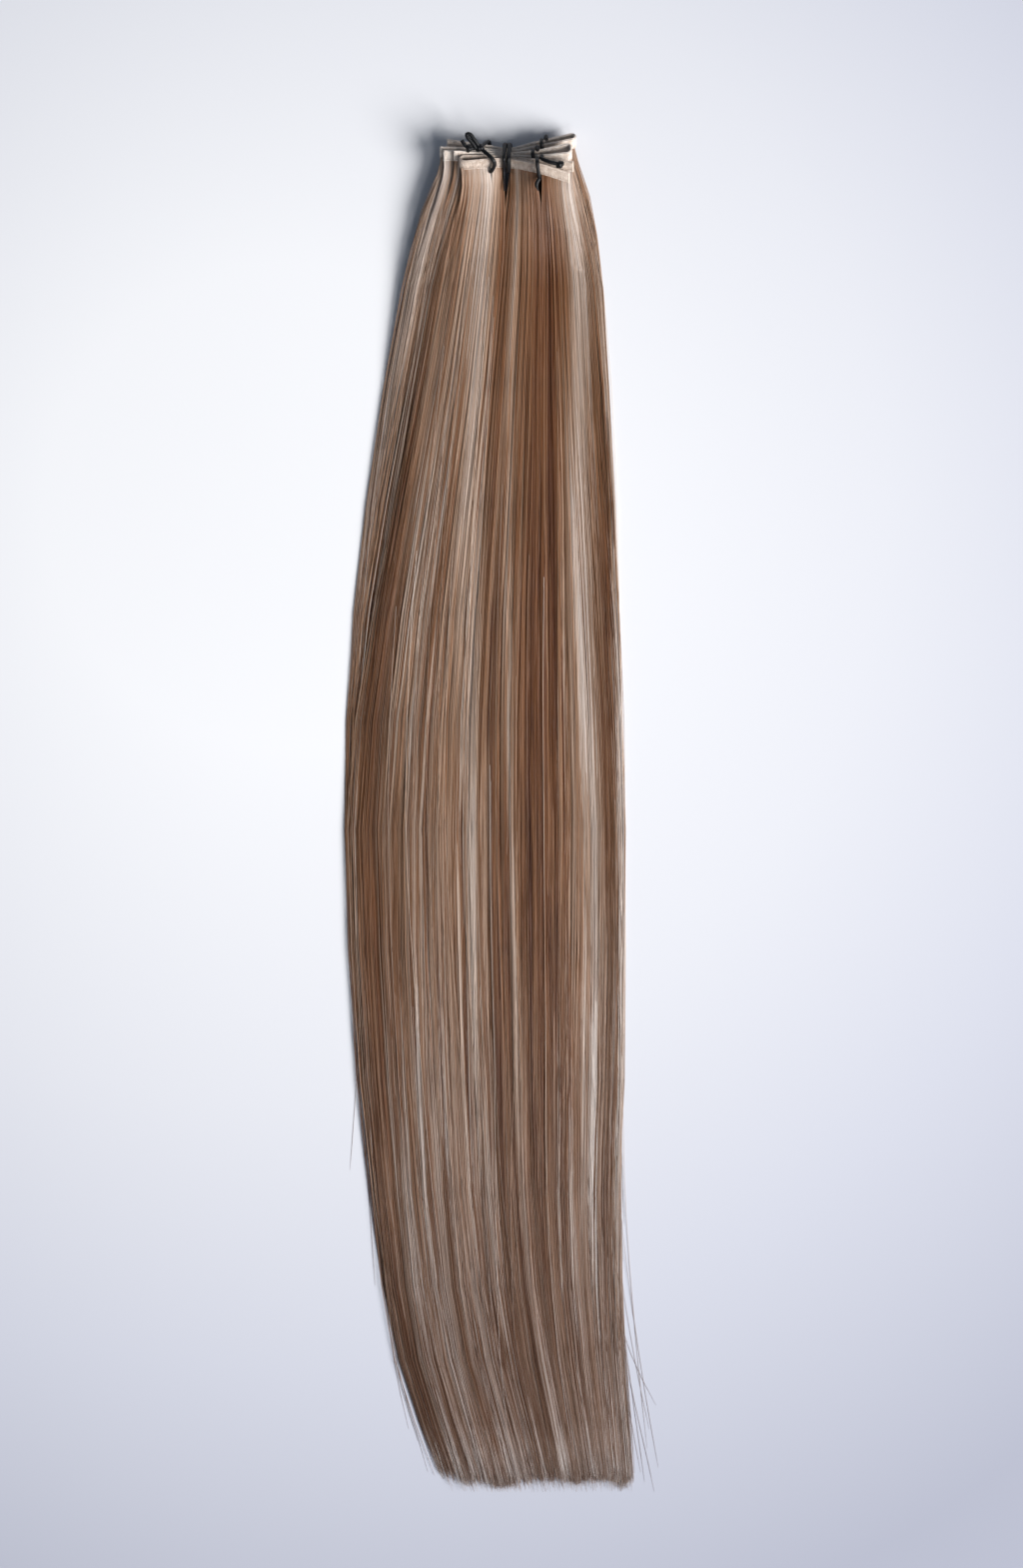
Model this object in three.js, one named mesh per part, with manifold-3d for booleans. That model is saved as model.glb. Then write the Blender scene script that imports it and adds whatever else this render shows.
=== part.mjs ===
// Hybrid weft hair extension: three wefts of straight highlighted hair, each folded once on its stitched
// seam band, tied at the head with black elastic cord and laid flat on a table.
// Millimetres. +Z is up from the table, +Y points from the hair tips to the seam bands, and the origin is on
// the table under the middle of the whole piece. "along" is the distance from the head towards the tips.

import * as THREE from 'three';
import { mergeVertices } from 'three/addons/utils/BufferGeometryUtils.js';
import Module from 'manifold-3d';

const wasm = await Module();
wasm.setup();

// Driving dimensions
const HAIR_LENGTH = 560;
const BAND_HEIGHT = 5;
const BAND_THICK = 1;
const CORD_DIAMETER = 1.6;
const PIECE_GAP = 0.35;

// The lying hair from above and in depth: its left and right edge and its thickness at the middle.
const OUTLINE = [
  { along: 0, left: -19, right: 35, thick: 12.5 },
  { along: 25, left: -27.5, right: 41.2, thick: 10.4 },
  { along: 50, left: -34.4, right: 46.6, thick: 9.2 },
  { along: 90, left: -42, right: 50.4, thick: 8.4 },
  { along: 150, left: -51, right: 53.6, thick: 7.8 },
  { along: 220, left: -58, right: 55.4, thick: 7.3 },
  { along: 300, left: -60.3, right: 56.8, thick: 6.9 },
  { along: 380, left: -56, right: 56, thick: 6.4 },
  { along: 450, left: -49, right: 54.2, thick: 5.8 },
  { along: 510, left: -39.5, right: 56.6, thick: 4.9 },
  { along: 560, left: -22.5, right: 60.2, thick: 3.9 },
];
const EDGE_THINNING = 0.35;

// Each weft is two runs of band joined by a fold. A run's rows go from left to right: where its top edge lies
// along the piece, how high its lower edge is above the table, and how far the band leans up from it.
// spread is the share of the hair's width that the run's hair covers, from the left edge to the right one.
const WEFTS = {
  back: {
    foldSide: 1,
    ownTie: 22.7,
    colour: 0x8a6d57,
    runs: [
      {
        spread: [0.03, 1],
        rows: [
          { x: -17.7, top: 2.6, low: 3.4, lean: 30 },
          { x: 0.6, top: 5.2, low: 3.7, lean: 36 },
          { x: 7, top: 6.3, low: 4, lean: 40 },
          { x: 19, top: 3.6, low: 3.5, lean: 36 },
          { x: 32, top: 0.2, low: 3, lean: 35 },
        ],
      },
      {
        spread: [0, 0.98],
        rows: [
          { x: -20.7, top: 5.9, low: 6.2, lean: 32 },
          { x: 0.6, top: 6.6, low: 5.3, lean: 38 },
          { x: 7, top: 7.2, low: 5.1, lean: 40 },
          { x: 19, top: 5.4, low: 6, lean: 36 },
          { x: 32, top: 3.4, low: 7.2, lean: 35 },
        ],
      },
    ],
  },
  middle: {
    foldSide: 1,
    ownTie: 19,
    colour: 0x9a7d66,
    runs: [
      {
        spread: [0.06, 0.96],
        rows: [
          { x: -19.2, top: 7.6, low: 8.4, lean: 35 },
          { x: 0.6, top: 7.6, low: 6.7, lean: 38 },
          { x: 7, top: 8.1, low: 6.2, lean: 40 },
          { x: 19, top: 7.4, low: 9.2, lean: 36 },
          { x: 33, top: 5, low: 10.2, lean: 35 },
        ],
      },
      {
        spread: [0.13, 0.94],
        rows: [
          { x: -14.9, top: 7.8, low: 10.2, lean: 38 },
          { x: 0.6, top: 8.6, low: 7.9, lean: 38 },
          { x: 7, top: 9, low: 7.3, lean: 40 },
          { x: 19, top: 9.6, low: 11.4, lean: 36 },
          { x: 33, top: 10.2, low: 13.8, lean: 35 },
        ],
      },
    ],
  },
  front: {
    foldSide: -1,
    ownTie: 20.8,
    colour: 0xa98c74,
    runs: [
      {
        spread: [0.17, 0.92],
        rows: [
          { x: -9.5, top: 9.6, low: 11.6, lean: 44 },
          { x: 0.6, top: 9.6, low: 9.3, lean: 40 },
          { x: 7, top: 9.9, low: 8.4, lean: 40 },
          { x: 19, top: 11.3, low: 14.8, lean: 36 },
          { x: 35, top: 12.5, low: 15.8, lean: 35 },
        ],
      },
      {
        spread: [0.21, 0.89],
        rows: [
          { x: -9.5, top: 12, low: 14.2, lean: 47 },
          { x: 0.6, top: 11, low: 11, lean: 42 },
          { x: 7, top: 10.8, low: 9.5, lean: 40 },
          { x: 19, top: 12.9, low: 16.9, lean: 36 },
          { x: 33.3, top: 17.1, low: 16.2, lean: 30 },
        ],
      },
    ],
  },
};
const FOLD_BULGE = 2.7;
const FOLD_STEPS = 8;
const RUN_STEPS = 13;

// Ties that go round all the wefts, and how far the hair parts to each side of a cord below the band.
const CENTRE_TIE = 7;
const LEFT_TIE = 0.4;
const CENTRE_PARTING = 2.45;
const SINGLE_PARTING = 1.4;
const PARTING_LENGTH = 16;
const LOCKS_BETWEEN_TIES = [2, 1, 2, 2];

// How a lock of hair settles from its root on the band into its layer of the lying hair, and where the locks
// of a weft run together into one body.
const ROOT_GAP = 0.3;
const LOCK_GAP = 0.4;
const SETTLE_LENGTH = 45;
const FAN_LENGTH = 22;
const LOCK_STEPS = [0, 4, 10, 18, 30, 45];
const BODY_START = 62;
const LOCK_END = 96;
const BODY_STEPS = [85, 130, 190, 250, 320, 390, 450, 510];
const RIDGE_COUNT = 7;
const VALLEY = 0.78;
const TIP_RAGGED = 5;

const CORD_SIDES = 8;
const CORD_STEP = 1.5;
const CORD_CORNER = 0.8;
const CORD_GAP = 0.42;
const KNOT_RADIUS = 0.95;

const HAIR_ROUGHNESS = 0.5;
const BAND_FINISH = { color: 0xcdbfad, roughness: 0.75, metalness: 0 };
const CORD_FINISH = { color: 0x141416, roughness: 0.4, metalness: 0 };

const mix = THREE.MathUtils.lerp;
const smooth = (share) => THREE.MathUtils.smoothstep(share, 0, 1);
const range = (count) => Array.from({ length: count }, (_, i) => i);

// A smooth curve through a table: its first column is the place, and the others are read at it.
function table(rows) {
  const [place, ...columns] = Object.keys(rows[0]);
  const places = rows.map((row) => row[place]);
  const values = rows.flatMap((row) => columns.map((name) => row[name]));
  const curve = new THREE.CubicInterpolant(places, values, columns.length, new Float64Array(columns.length));
  return (at) => {
    const found = Array.from(curve.evaluate(at));
    return Object.fromEntries(columns.map((name, i) => [name, found[i]]));
  };
}

const outlineAt = table(OUTLINE);

// A point given by its place across, along and above the table.
const point = (x, along, z) => new THREE.Vector3(x, HAIR_LENGTH / 2 - along, z);
const alongOf = (spot) => HAIR_LENGTH / 2 - spot.y;

// A closed body between two grids of points of the same size: upper faces the way of rows times columns.
function slab(upper, lower) {
  const rows = upper.length;
  const columns = upper[0].length;
  const below = rows * columns;
  const spot = (i, j) => i * columns + j;
  const faces = [];
  for (let i = 0; i < rows - 1; i++) {
    for (let j = 0; j < columns - 1; j++) {
      const [a, b, c, d] = [spot(i, j), spot(i + 1, j), spot(i + 1, j + 1), spot(i, j + 1)];
      faces.push(a, b, c, a, c, d);
      faces.push(below + a, below + c, below + b, below + a, below + d, below + c);
    }
  }
  const rim = [
    ...range(rows - 1).map((i) => spot(i, 0)),
    ...range(columns - 1).map((j) => spot(rows - 1, j)),
    ...range(rows - 1).map((i) => spot(rows - 1 - i, columns - 1)),
    ...range(columns - 1).map((j) => spot(0, columns - 1 - j)),
  ];
  rim.forEach((p, k) => {
    const q = rim[(k + 1) % rim.length];
    faces.push(p, below + p, below + q, p, below + q, q);
  });
  const points = [...upper, ...lower].flat().flatMap((p) => p.toArray());
  return new THREE.BufferGeometry()
    .setAttribute('position', new THREE.Float32BufferAttribute(points, 3))
    .setIndex(faces);
}

function solid(geometry) {
  const bare = geometry.clone();
  bare.deleteAttribute('normal');
  bare.deleteAttribute('uv');
  const merged = mergeVertices(bare, 1e-4);
  return new wasm.Manifold(
    new wasm.Mesh({
      numProp: 3,
      vertProperties: merged.attributes.position.array,
      triVerts: new Uint32Array(merged.index.array),
    }),
  );
}

// Several overlapping bodies joined into one.
function fuse(geometries) {
  const whole = geometries.map(solid).reduce((sum, next) => sum.add(next));
  const mesh = whole.getMesh();
  return new THREE.BufferGeometry()
    .setAttribute('position', new THREE.Float32BufferAttribute(mesh.vertProperties, 3))
    .setIndex(Array.from(mesh.triVerts));
}

// Seam bands

// A run of band: its lower edge at x, the way up its face, and the way out of its face towards the viewer.
function makeRun(run) {
  const read = table(run.rows);
  const at = (x) => {
    const { top, low, lean } = read(x);
    const angle = THREE.MathUtils.degToRad(lean);
    const up = new THREE.Vector3(0, Math.cos(angle), Math.sin(angle));
    const out = new THREE.Vector3(0, -Math.sin(angle), Math.cos(angle));
    return { lower: point(x, top + BAND_HEIGHT * Math.cos(angle), low), up, out };
  };
  return { at, spread: run.spread, left: run.rows[0].x, right: run.rows.at(-1).x };
}

// The ribs of a folded band, from the free end of its first run, round the fold, to that of its second.
function bandRibs(foldSide, [first, second]) {
  const [free, fold] = foldSide > 0 ? ['left', 'right'] : ['right', 'left'];
  const shares = range(RUN_STEPS + 1).map((i) => i / RUN_STEPS);
  const begin = first.at(first[fold]);
  const end = second.at(second[fold]);
  const turned = range(FOLD_STEPS).slice(1).map((i) => {
    const turn = (Math.PI * i) / FOLD_STEPS;
    const share = (1 - Math.cos(turn)) / 2;
    const lower = begin.lower.clone().lerp(end.lower, share);
    lower.x += foldSide * FOLD_BULGE * Math.sin(turn);
    return { lower, up: begin.up.clone().lerp(end.up, share).normalize() };
  });
  return [
    ...shares.map((share) => first.at(mix(first[free], first[fold], share))),
    ...turned,
    ...shares.map((share) => second.at(mix(second[fold], second[free], share))),
  ];
}

function bandGeometry(foldSide, runs) {
  const ribs = bandRibs(foldSide, runs);
  const faces = [1, -1].map((side) =>
    ribs.map(({ lower, up }, i) => {
      const before = ribs[Math.max(i - 1, 0)].lower;
      const after = ribs[Math.min(i + 1, ribs.length - 1)].lower;
      const out = after.clone().sub(before).cross(up).normalize();
      const low = lower.clone().addScaledVector(out, (side * BAND_THICK) / 2);
      return [low, low.clone().addScaledVector(up, BAND_HEIGHT)];
    }),
  );
  return slab(...faces);
}

// Hair

// The underside and depth of one of the six layers of lying hair, two to a weft, at a share of its width.
function layerAt(layer, along, share) {
  const { left, right, thick } = outlineAt(along);
  const total = thick * (1 - EDGE_THINNING * Math.abs(2 * share - 1) ** 4);
  const depth = (total - 5 * PIECE_GAP) / 6;
  return { x: mix(left, right, share), floor: layer * (depth + PIECE_GAP), depth };
}

// Where the locks of a run begin and end: parted round the ties at the root, closed up below, and as shares
// of the hair's width.
function lockSpans(run, ownTie) {
  const bounds = [run.left, LEFT_TIE, CENTRE_TIE, ownTie, run.right];
  const partings = [0, SINGLE_PARTING, CENTRE_PARTING, SINGLE_PARTING, 0];
  const shareOf = (x) => mix(...run.spread, (x - run.left) / (run.right - run.left));
  return LOCKS_BETWEEN_TIES.flatMap((count, k) => {
    const root = [bounds[k] + partings[k], bounds[k + 1] - partings[k + 1]];
    const closed = [bounds[k], bounds[k + 1]];
    return range(count).map((i) => ({
      root: [i, i + 1].map((n) => mix(...root, n / count)),
      closed: [i, i + 1].map((n) => mix(...closed, n / count)),
      share: [i, i + 1].map((n) => shareOf(mix(...closed, n / count))),
    }));
  });
}

// One point of a lock: its side from left 0 to right 1, its rise through the depth, its reach from the root.
function lockPoint(run, layer, lock, side, rise, reach) {
  const rootX = mix(...lock.root, side);
  const { lower, up, out } = run.at(rootX);
  const root = lower.clone().addScaledVector(up, -ROOT_GAP).addScaledVector(out, BAND_THICK * (rise - 0.5));
  const along = alongOf(lower) + reach;
  const body = layerAt(layer, along, mix(...lock.share, side));
  const settled = THREE.MathUtils.clamp(reach / SETTLE_LENGTH, 0, 1);
  const lifted = (1 - settled) ** 3;
  const closedX = mix(...lock.closed, side);
  const fanned = 1 - (1 - THREE.MathUtils.clamp(reach / FAN_LENGTH, 0, 1)) ** 2;
  const parted = (rootX - closedX) * (1 - smooth(reach / PARTING_LENGTH));
  const flat = point(mix(closedX, body.x, fanned) + parted, along, body.floor + body.depth * rise);
  return new THREE.Vector3(flat.x, mix(flat.y, root.y - reach, lifted), mix(flat.z, root.z, lifted));
}

function lockGeometry(run, layer, lock) {
  const rootAlong = alongOf(run.at(mix(...lock.root, 0.5)).lower);
  const inset = LOCK_GAP / 2 / (lock.root[1] - lock.root[0]);
  const reaches = [...LOCK_STEPS, LOCK_END - rootAlong];
  const grid = (spots) =>
    reaches.map((reach, i) => {
      const sunk = i === reaches.length - 1 ? 0.25 : 0;
      return spots.map(([side, rise]) => {
        const within = mix(inset, 1 - inset, mix(side, 0.5, sunk));
        return lockPoint(run, layer, lock, within, mix(rise, 0.5, 2 * sunk), reach);
      });
    });
  const upper = grid([[0.12, 0.86], [0.5, 1], [0.88, 0.86]]);
  const lower = grid([[0, 0], [0.5, 0], [1, 0]]);
  return slab(upper, lower);
}

// The body in which the locks of both runs of a weft lie together, ridged lengthwise, down to ragged tips.
function bodyGeometry(runs, firstLayer) {
  const spread = [Math.min(...runs.map((r) => r.spread[0])), Math.max(...runs.map((r) => r.spread[1]))];
  const columns = range(2 * RIDGE_COUNT + 1);
  const stations = [BODY_START, ...BODY_STEPS, HAIR_LENGTH];
  const heights = stations.map((along, i) =>
    columns.map((j) => {
      const share = mix(...spread, j / (2 * RIDGE_COUNT));
      const tip = i === stations.length - 1;
      const ragged = tip ? TIP_RAGGED * Math.abs(Math.sin(j * 2.4 + firstLayer)) : 0;
      const bottom = layerAt(firstLayer, along, share);
      const top = layerAt(firstLayer + 1, along, share);
      const ceiling = top.floor + top.depth;
      const edge = j === 0 || j === 2 * RIDGE_COUNT ? 0.45 : 1;
      const crest = edge * (j % 2 ? 1 : VALLEY);
      const start = i === 0 ? 0.3 : 1;
      const middle = mix(bottom.floor, ceiling, 0.5);
      return {
        upper: point(bottom.x, along - ragged, mix(middle, mix(bottom.floor, ceiling, crest), start)),
        lower: point(bottom.x, along - ragged, mix(middle, bottom.floor, start)),
      };
    }),
  );
  return slab(heights.map((row) => row.map((p) => p.upper)), heights.map((row) => row.map((p) => p.lower)));
}

function hairGeometry(weft, runs, firstLayer) {
  const locks = runs.flatMap((run, i) =>
    lockSpans(run, weft.ownTie).map((lock) => lockGeometry(run, firstLayer + i, lock)),
  );
  return fuse([bodyGeometry(runs, firstLayer), ...locks]);
}

// Ties

const cordShape = new THREE.Shape(
  range(CORD_SIDES).map((i) => {
    const turn = (2 * Math.PI * (i + 0.5)) / CORD_SIDES;
    return new THREE.Vector2(Math.cos(turn), Math.sin(turn)).multiplyScalar(CORD_DIAMETER / 2);
  }),
);

function cord(points) {
  const path = new THREE.CatmullRomCurve3(points, false, 'centripetal');
  const steps = Math.ceil(path.getLength() / CORD_STEP);
  return new THREE.ExtrudeGeometry(cordShape, { steps, extrudePath: path });
}

// The four corners of a loop round the bands from the rear run to the front one, at x.
function hug(rear, front, x) {
  const past = CORD_DIAMETER / 2 + CORD_GAP;
  const aside = BAND_THICK / 2 + past;
  const corner = (run, height, side) => {
    const { lower, up, out } = run.at(x);
    return lower.clone().addScaledVector(up, height).addScaledVector(out, side * aside);
  };
  return {
    frontLow: corner(front, -past, 1),
    frontHigh: corner(front, BAND_HEIGHT + past, 1),
    rearHigh: corner(rear, BAND_HEIGHT + past, -1),
    rearLow: corner(rear, -past, -1),
  };
}

// The corners of a bent path each replaced by two points that round it off.
function rounded(corners) {
  return corners.flatMap((spot, i) => {
    if (i === 0 || i === corners.length - 1) return [spot];
    return [corners[i - 1], corners[i + 1]].map((next) =>
      spot.clone().addScaledVector(next.clone().sub(spot).normalize(), CORD_CORNER),
    );
  });
}

const moved = (spot, x, along, z) => spot.clone().add(new THREE.Vector3(x, -along, z));

// A small pulled-tight knot: a wrapped turn of cord round a full middle.
function knot(spot, turn) {
  const wrap = new THREE.TorusGeometry(KNOT_RADIUS, CORD_DIAMETER / 2, CORD_SIDES, 10);
  const heart = new THREE.SphereGeometry(KNOT_RADIUS + 0.3, 8, 6).scale(1, 1, 1.15);
  return [wrap, heart].map((lump) => lump.rotateY(turn).translate(...spot.toArray()));
}

// Two turns round every band, side by side, from a tail in the parting to an end tucked in behind.
function centreTie(rear, front) {
  const half = (CORD_DIAMETER + PIECE_GAP) / 2;
  const first = hug(rear, front, CENTRE_TIE - half);
  const second = hug(rear, front, CENTRE_TIE + half);
  return cord(
    rounded([
      moved(first.frontLow, 0.2, 7.6, 0.6),
      first.frontLow,
      first.frontHigh,
      moved(first.rearHigh, half / 2, 0, 0),
      moved(second.rearLow, -half / 2, 0, 0),
      second.frontLow,
      second.frontHigh,
      moved(second.rearHigh, half / 2, 0, 0),
      moved(second.rearHigh.clone().lerp(second.rearLow, 0.6), half, 0, 0),
    ]),
  );
}

// One turn round every band, closed by a knot on the back edges, with a looped tail and a cut one.
function leftTie(rear, front) {
  const { frontLow, frontHigh, rearHigh, rearLow } = hug(rear, front, LEFT_TIE);
  const tied = moved(rearHigh, -4.4, 3.3, 7.4);
  const second = moved(tied, -4.6, 0.2, 0.6);
  const loop = [
    tied,
    moved(frontHigh, 1, 0, 0),
    moved(frontHigh, 1.9, 2.4, -2),
    moved(frontLow, 0, 0, 0),
    rearLow,
    moved(rearHigh, -0.6, 0, 0),
    tied,
  ];
  const looped = [
    moved(tied, -1.6, 0.2, 0.7),
    moved(tied, -3.7, -2.6, 1.4),
    moved(tied, -5.2, -4.4, 1.8),
    moved(tied, -5.3, -5.6, 1.8),
    moved(tied, -4.1, -5.5, 1.8),
    moved(tied, -2.1, -3, 1.4),
    moved(tied, -0.2, -0.2, 0.5),
  ];
  const cut = [second, moved(second, -1.6, -1.2, 0.3), moved(second, -2.9, -3.3, 0.3)];
  return fuse([
    cord(rounded(loop)),
    cord([tied, second]),
    cord(looped),
    cord(cut),
    ...knot(tied, 0.9),
    ...knot(second, -0.6),
  ]);
}

function plainTie(rear, front, x) {
  const { frontLow, frontHigh, rearHigh, rearLow } = hug(rear, front, x);
  const open = CORD_DIAMETER / 2 + PIECE_GAP / 2;
  const middle = frontHigh.clone().lerp(rearHigh, 0.5);
  const corners = [
    moved(middle, -open, 0, 0),
    moved(frontHigh, -open, 0, 0),
    frontLow,
    rearLow,
    moved(rearHigh, open, 0, 0),
    moved(middle, open, 0, 0),
  ];
  return cord(rounded(corners));
}

// A plain loop with a tail down the front and a cut end knotted in the gap between the runs.
function frontTie(rear, front, x) {
  const { frontLow, frontHigh, rearHigh } = hug(rear, front, x);
  const middle = frontHigh.clone().lerp(rearHigh, 0.5);
  const tied = moved(middle, 8.6, 2.5, 1.6);
  const tail = [frontLow, moved(frontLow, -1.2, 2.4, -0.2), moved(frontLow, -0.6, 5, -1.2)];
  const end = [moved(middle, 0.9, 0, 0.2), moved(middle, 4.2, 1.4, 1.6), tied];
  return fuse([plainTie(rear, front, x), cord(tail), cord(end), ...knot(tied, 0.4)]);
}

// The whole piece

function piece(name, geometry, finish) {
  const bare = geometry.clone();
  bare.deleteAttribute('normal');
  bare.deleteAttribute('uv');
  const merged = mergeVertices(bare, 1e-4);
  merged.computeVertexNormals();
  const mesh = new THREE.Mesh(merged, new THREE.MeshStandardMaterial(finish));
  mesh.name = name;
  return mesh;
}

const part = new THREE.Group();
const allRuns = Object.values(WEFTS).map((weft) => weft.runs.map(makeRun));
Object.entries(WEFTS).forEach(([name, weft], i) => {
  const hairFinish = { color: weft.colour, roughness: HAIR_ROUGHNESS, metalness: 0 };
  part.add(piece(`${name}_weft_band`, bandGeometry(weft.foldSide, allRuns[i]), BAND_FINISH));
  part.add(piece(`${name}_weft_hair`, hairGeometry(weft, allRuns[i], 2 * i), hairFinish));
});

const [[backRear, backFront], [middleRear, middleFront], [frontRear, frontFront]] = allRuns;
part.add(piece('centre_tie', centreTie(backRear, frontFront), CORD_FINISH));
part.add(piece('left_tie', leftTie(backRear, frontFront), CORD_FINISH));
part.add(piece('back_tie', plainTie(backRear, backFront, WEFTS.back.ownTie), CORD_FINISH));
part.add(piece('middle_tie', plainTie(middleRear, middleFront, WEFTS.middle.ownTie), CORD_FINISH));
part.add(piece('front_tie', frontTie(frontRear, frontFront, WEFTS.front.ownTie), CORD_FINISH));

export default part;
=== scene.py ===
# Hybrid weft hair extension: three folded wefts of straight highlighted hair, tied with black cord at the
# head and lying on a pale table. The tables are in millimetres; "along" runs from the head to the hair tips.
import math

import bmesh
import bpy
import numpy as np
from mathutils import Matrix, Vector


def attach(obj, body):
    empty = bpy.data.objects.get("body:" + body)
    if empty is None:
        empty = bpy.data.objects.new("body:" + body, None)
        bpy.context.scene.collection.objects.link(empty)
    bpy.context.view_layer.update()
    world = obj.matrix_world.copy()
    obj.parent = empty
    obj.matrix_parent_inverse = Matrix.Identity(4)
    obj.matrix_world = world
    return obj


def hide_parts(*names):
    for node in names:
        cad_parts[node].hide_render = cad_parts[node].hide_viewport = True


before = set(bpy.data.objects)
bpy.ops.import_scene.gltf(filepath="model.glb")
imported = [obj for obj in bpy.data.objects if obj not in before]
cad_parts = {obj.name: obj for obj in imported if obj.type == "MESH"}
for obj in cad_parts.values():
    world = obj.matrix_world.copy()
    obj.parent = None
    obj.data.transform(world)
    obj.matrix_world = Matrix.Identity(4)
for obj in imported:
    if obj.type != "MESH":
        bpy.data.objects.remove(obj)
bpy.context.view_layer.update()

MM = 0.001
HAIR_LENGTH = 560.0
BAND_HEIGHT = 5.0
BAND_THICK = 1.0
TAPE_THICK = 0.76
CORD_DIAMETER = 1.6
CORD_GAP = 0.42
CORD_CORNER = 0.8
CORD_SIDE_GAP = 0.35
CORD_SIDES, CORD_STEP, CORD_FLAT = 12, 0.4, 0.9
CORD_FULL, CENTRE_CORD_FULL = 1.04, 1.2
TAIL_THIN, TAIL_SHARE = 0.35, 0.45
CORD_STRIP, STRIP_FILLED = 0.1, 0.9

# Lying hair: along, left edge, right edge, thickness at the middle
OUTLINE = [
    (0, -19, 37.5, 10.5),
    (25, -27.5, 43, 8.2),
    (50, -34.4, 47.4, 7.4),
    (90, -42, 50.4, 7.6),
    (150, -51, 53.6, 7.8),
    (220, -58, 55.4, 7.3),
    (300, -60.3, 56.8, 6.9),
    (380, -56, 56, 6.4),
    (450, -49, 54.2, 5.8),
    (510, -39.5, 56.6, 4.9),
    (560, -22.5, 60.2, 3.9),
]
EDGE_INSET = 1.9

# Two runs of band to a weft, rear and front, from left to right: x, top edge along, lower edge's height, lean
RUNS = {
    "back": [
        [(-17.7, 2.6, 4.9, 30), (0.6, 5.2, 3.7, 36), (7, 6.3, 4, 40),
         (19, 3.6, 3.5, 36), (34.2, 0.1, 3.6, 35)],
        [(-20.7, 5.9, 7.9, 32), (0.6, 6.6, 5.3, 38), (7, 7.2, 5.1, 40),
         (19, 5.4, 6, 36), (34.2, 2.4, 6.6, 35)],
    ],
    "middle": [
        [(-19.2, 7.6, 9.9, 35), (0.6, 7.6, 6.7, 38), (7, 8.1, 6.2, 40),
         (19, 7.4, 9.2, 36), (32.4, 4.6, 10.4, 35)],
        [(-14.9, 7.8, 11.3, 38), (0.6, 8.6, 7.9, 38), (7, 9, 7.3, 40),
         (19, 9.6, 11.4, 36), (32.4, 8.4, 13.2, 35)],
    ],
    "front": [
        [(-9.5, 9.6, 10.6, 44), (0.6, 9.6, 9.3, 40), (7, 9.9, 8.4, 40),
         (19, 11.3, 14.8, 36), (35, 12.5, 15.8, 35)],
        [(-9.5, 12, 12.8, 47), (0.6, 11, 11, 42), (7, 10.8, 9.5, 40),
         (19, 12.9, 16.9, 36), (33.3, 17.1, 16.2, 30)],
    ],
}
FOLD_SIDE = {"back": 1, "middle": 1, "front": -1}
FOLD_BULGE = {"back": 1.4, "middle": 1.4, "front": 2.7}
OWN_TIE = {"back": 22.7, "middle": 19.0, "front": 20.8}
CENTRE_TIE, LEFT_TIE = 7.0, 0.4

# Tape: ribs along a run and round a fold, sides, fullness, waves by size and rate, and where they begin
RUN_RIBS, FOLD_RIBS, FOLD_CURVE = 66, 14, 0.7
TAPE_SIDES, TAPE_FULL = 12, 1.06
TAPE_BOW, TAPE_FINE_BOW, TAPE_EDGE_WAVE = (0.035, 0.9), (0.025, 2.3), (0.06, 1.7)
TAPE_BOW_START = {"back": 4, "middle": 6, "front": 5}

# Seam threads along a band's faces: height on the band, radius
SEAM_ROWS = [(0.45, 0.2), (2.55, 0.14), (4.55, 0.22)]
SEAM_SIDES, SEAM_FLAT, SEAM_PLUMP = 6, 0.8, (0.25, 2.9)
THREAD_PROUD = 0.02

# Upright thread wraps: heights on the band, ends, spacing, shift, lean, bow along a wrap, ring along and out
STITCH_ROWS = [(0.5, 2.5), (2.62, 4.5)]
STITCH_START, STITCH_ROW_START, STITCH_STOP = 0.5, 0.2, 0.4
STITCH_SPACING, STITCH_SHIFT, STITCH_LEAN = 0.5, 0.12, 0.16
STITCH_BOW = [(0.0, 0.0), (0.33, 0.05), (0.67, 0.05), (1.0, 0.0)]
STITCH_RING = [(-0.12, 0), (0, 0.1), (0.12, 0), (0, -0.06)]

# Share of the hair's width that each weft's two runs cover at the head, and that the weft covers further down
SPREAD = {
    "back": [(0.03, 1.0), (0.0, 0.98), (0.0, 1.0)],
    "middle": [(0.06, 0.96), (0.13, 0.94), (0.02, 0.985)],
    "front": [(0.17, 0.92), (0.21, 0.89), (0.05, 0.965)],
}

# Layers of strands: weft, run, number of strands, share of the hair's depth from and to
LAYERS = {
    "back_under_strands": ("back", 0, 600, 0.02, 0.3),
    "back_over_strands": ("back", 1, 750, 0.2, 0.5),
    "middle_under_strands": ("middle", 0, 750, 0.4, 0.7),
    "middle_over_strands": ("middle", 1, 1000, 0.55, 0.8),
    "front_under_strands": ("front", 0, 1450, 0.68, 0.9),
    "front_inner_strands": ("front", 0, 2100, 0.82, 0.97),
    "front_outer_strands": ("front", 1, 2400, 0.9, 1.0),
    "front_cover_strands": ("front", 1, 2400, 0.92, 1.02),
}

# A strand: radius, spread of radii, taper towards the tip and at it, and the angles of its rounded upper side
STRAND_RADIUS = 0.11
RADIUS_RANGE = (0.75, 1.2)
LOW_TAPER, TIP_TAPER = 0.8, 0.3
UPPER_SIDE, UPPER_TURN = (-20.0, 90.0, 200.0), 0.5
TABLE_CLEARANCE = 0.02

# Stations of a strand: distances from its root, then places down the hair, then its own end
REACHES = [-0.9, 2.5, 7, 13, 22, 38]
STATIONS = [64, 105, 155, 200, 245, 290, 340, 395, 442, 480, 511, 537]
WARMTH_STATION = len(REACHES) + STATIONS.index(105)
PICK_STATION = len(REACHES) + STATIONS.index(290)

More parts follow.
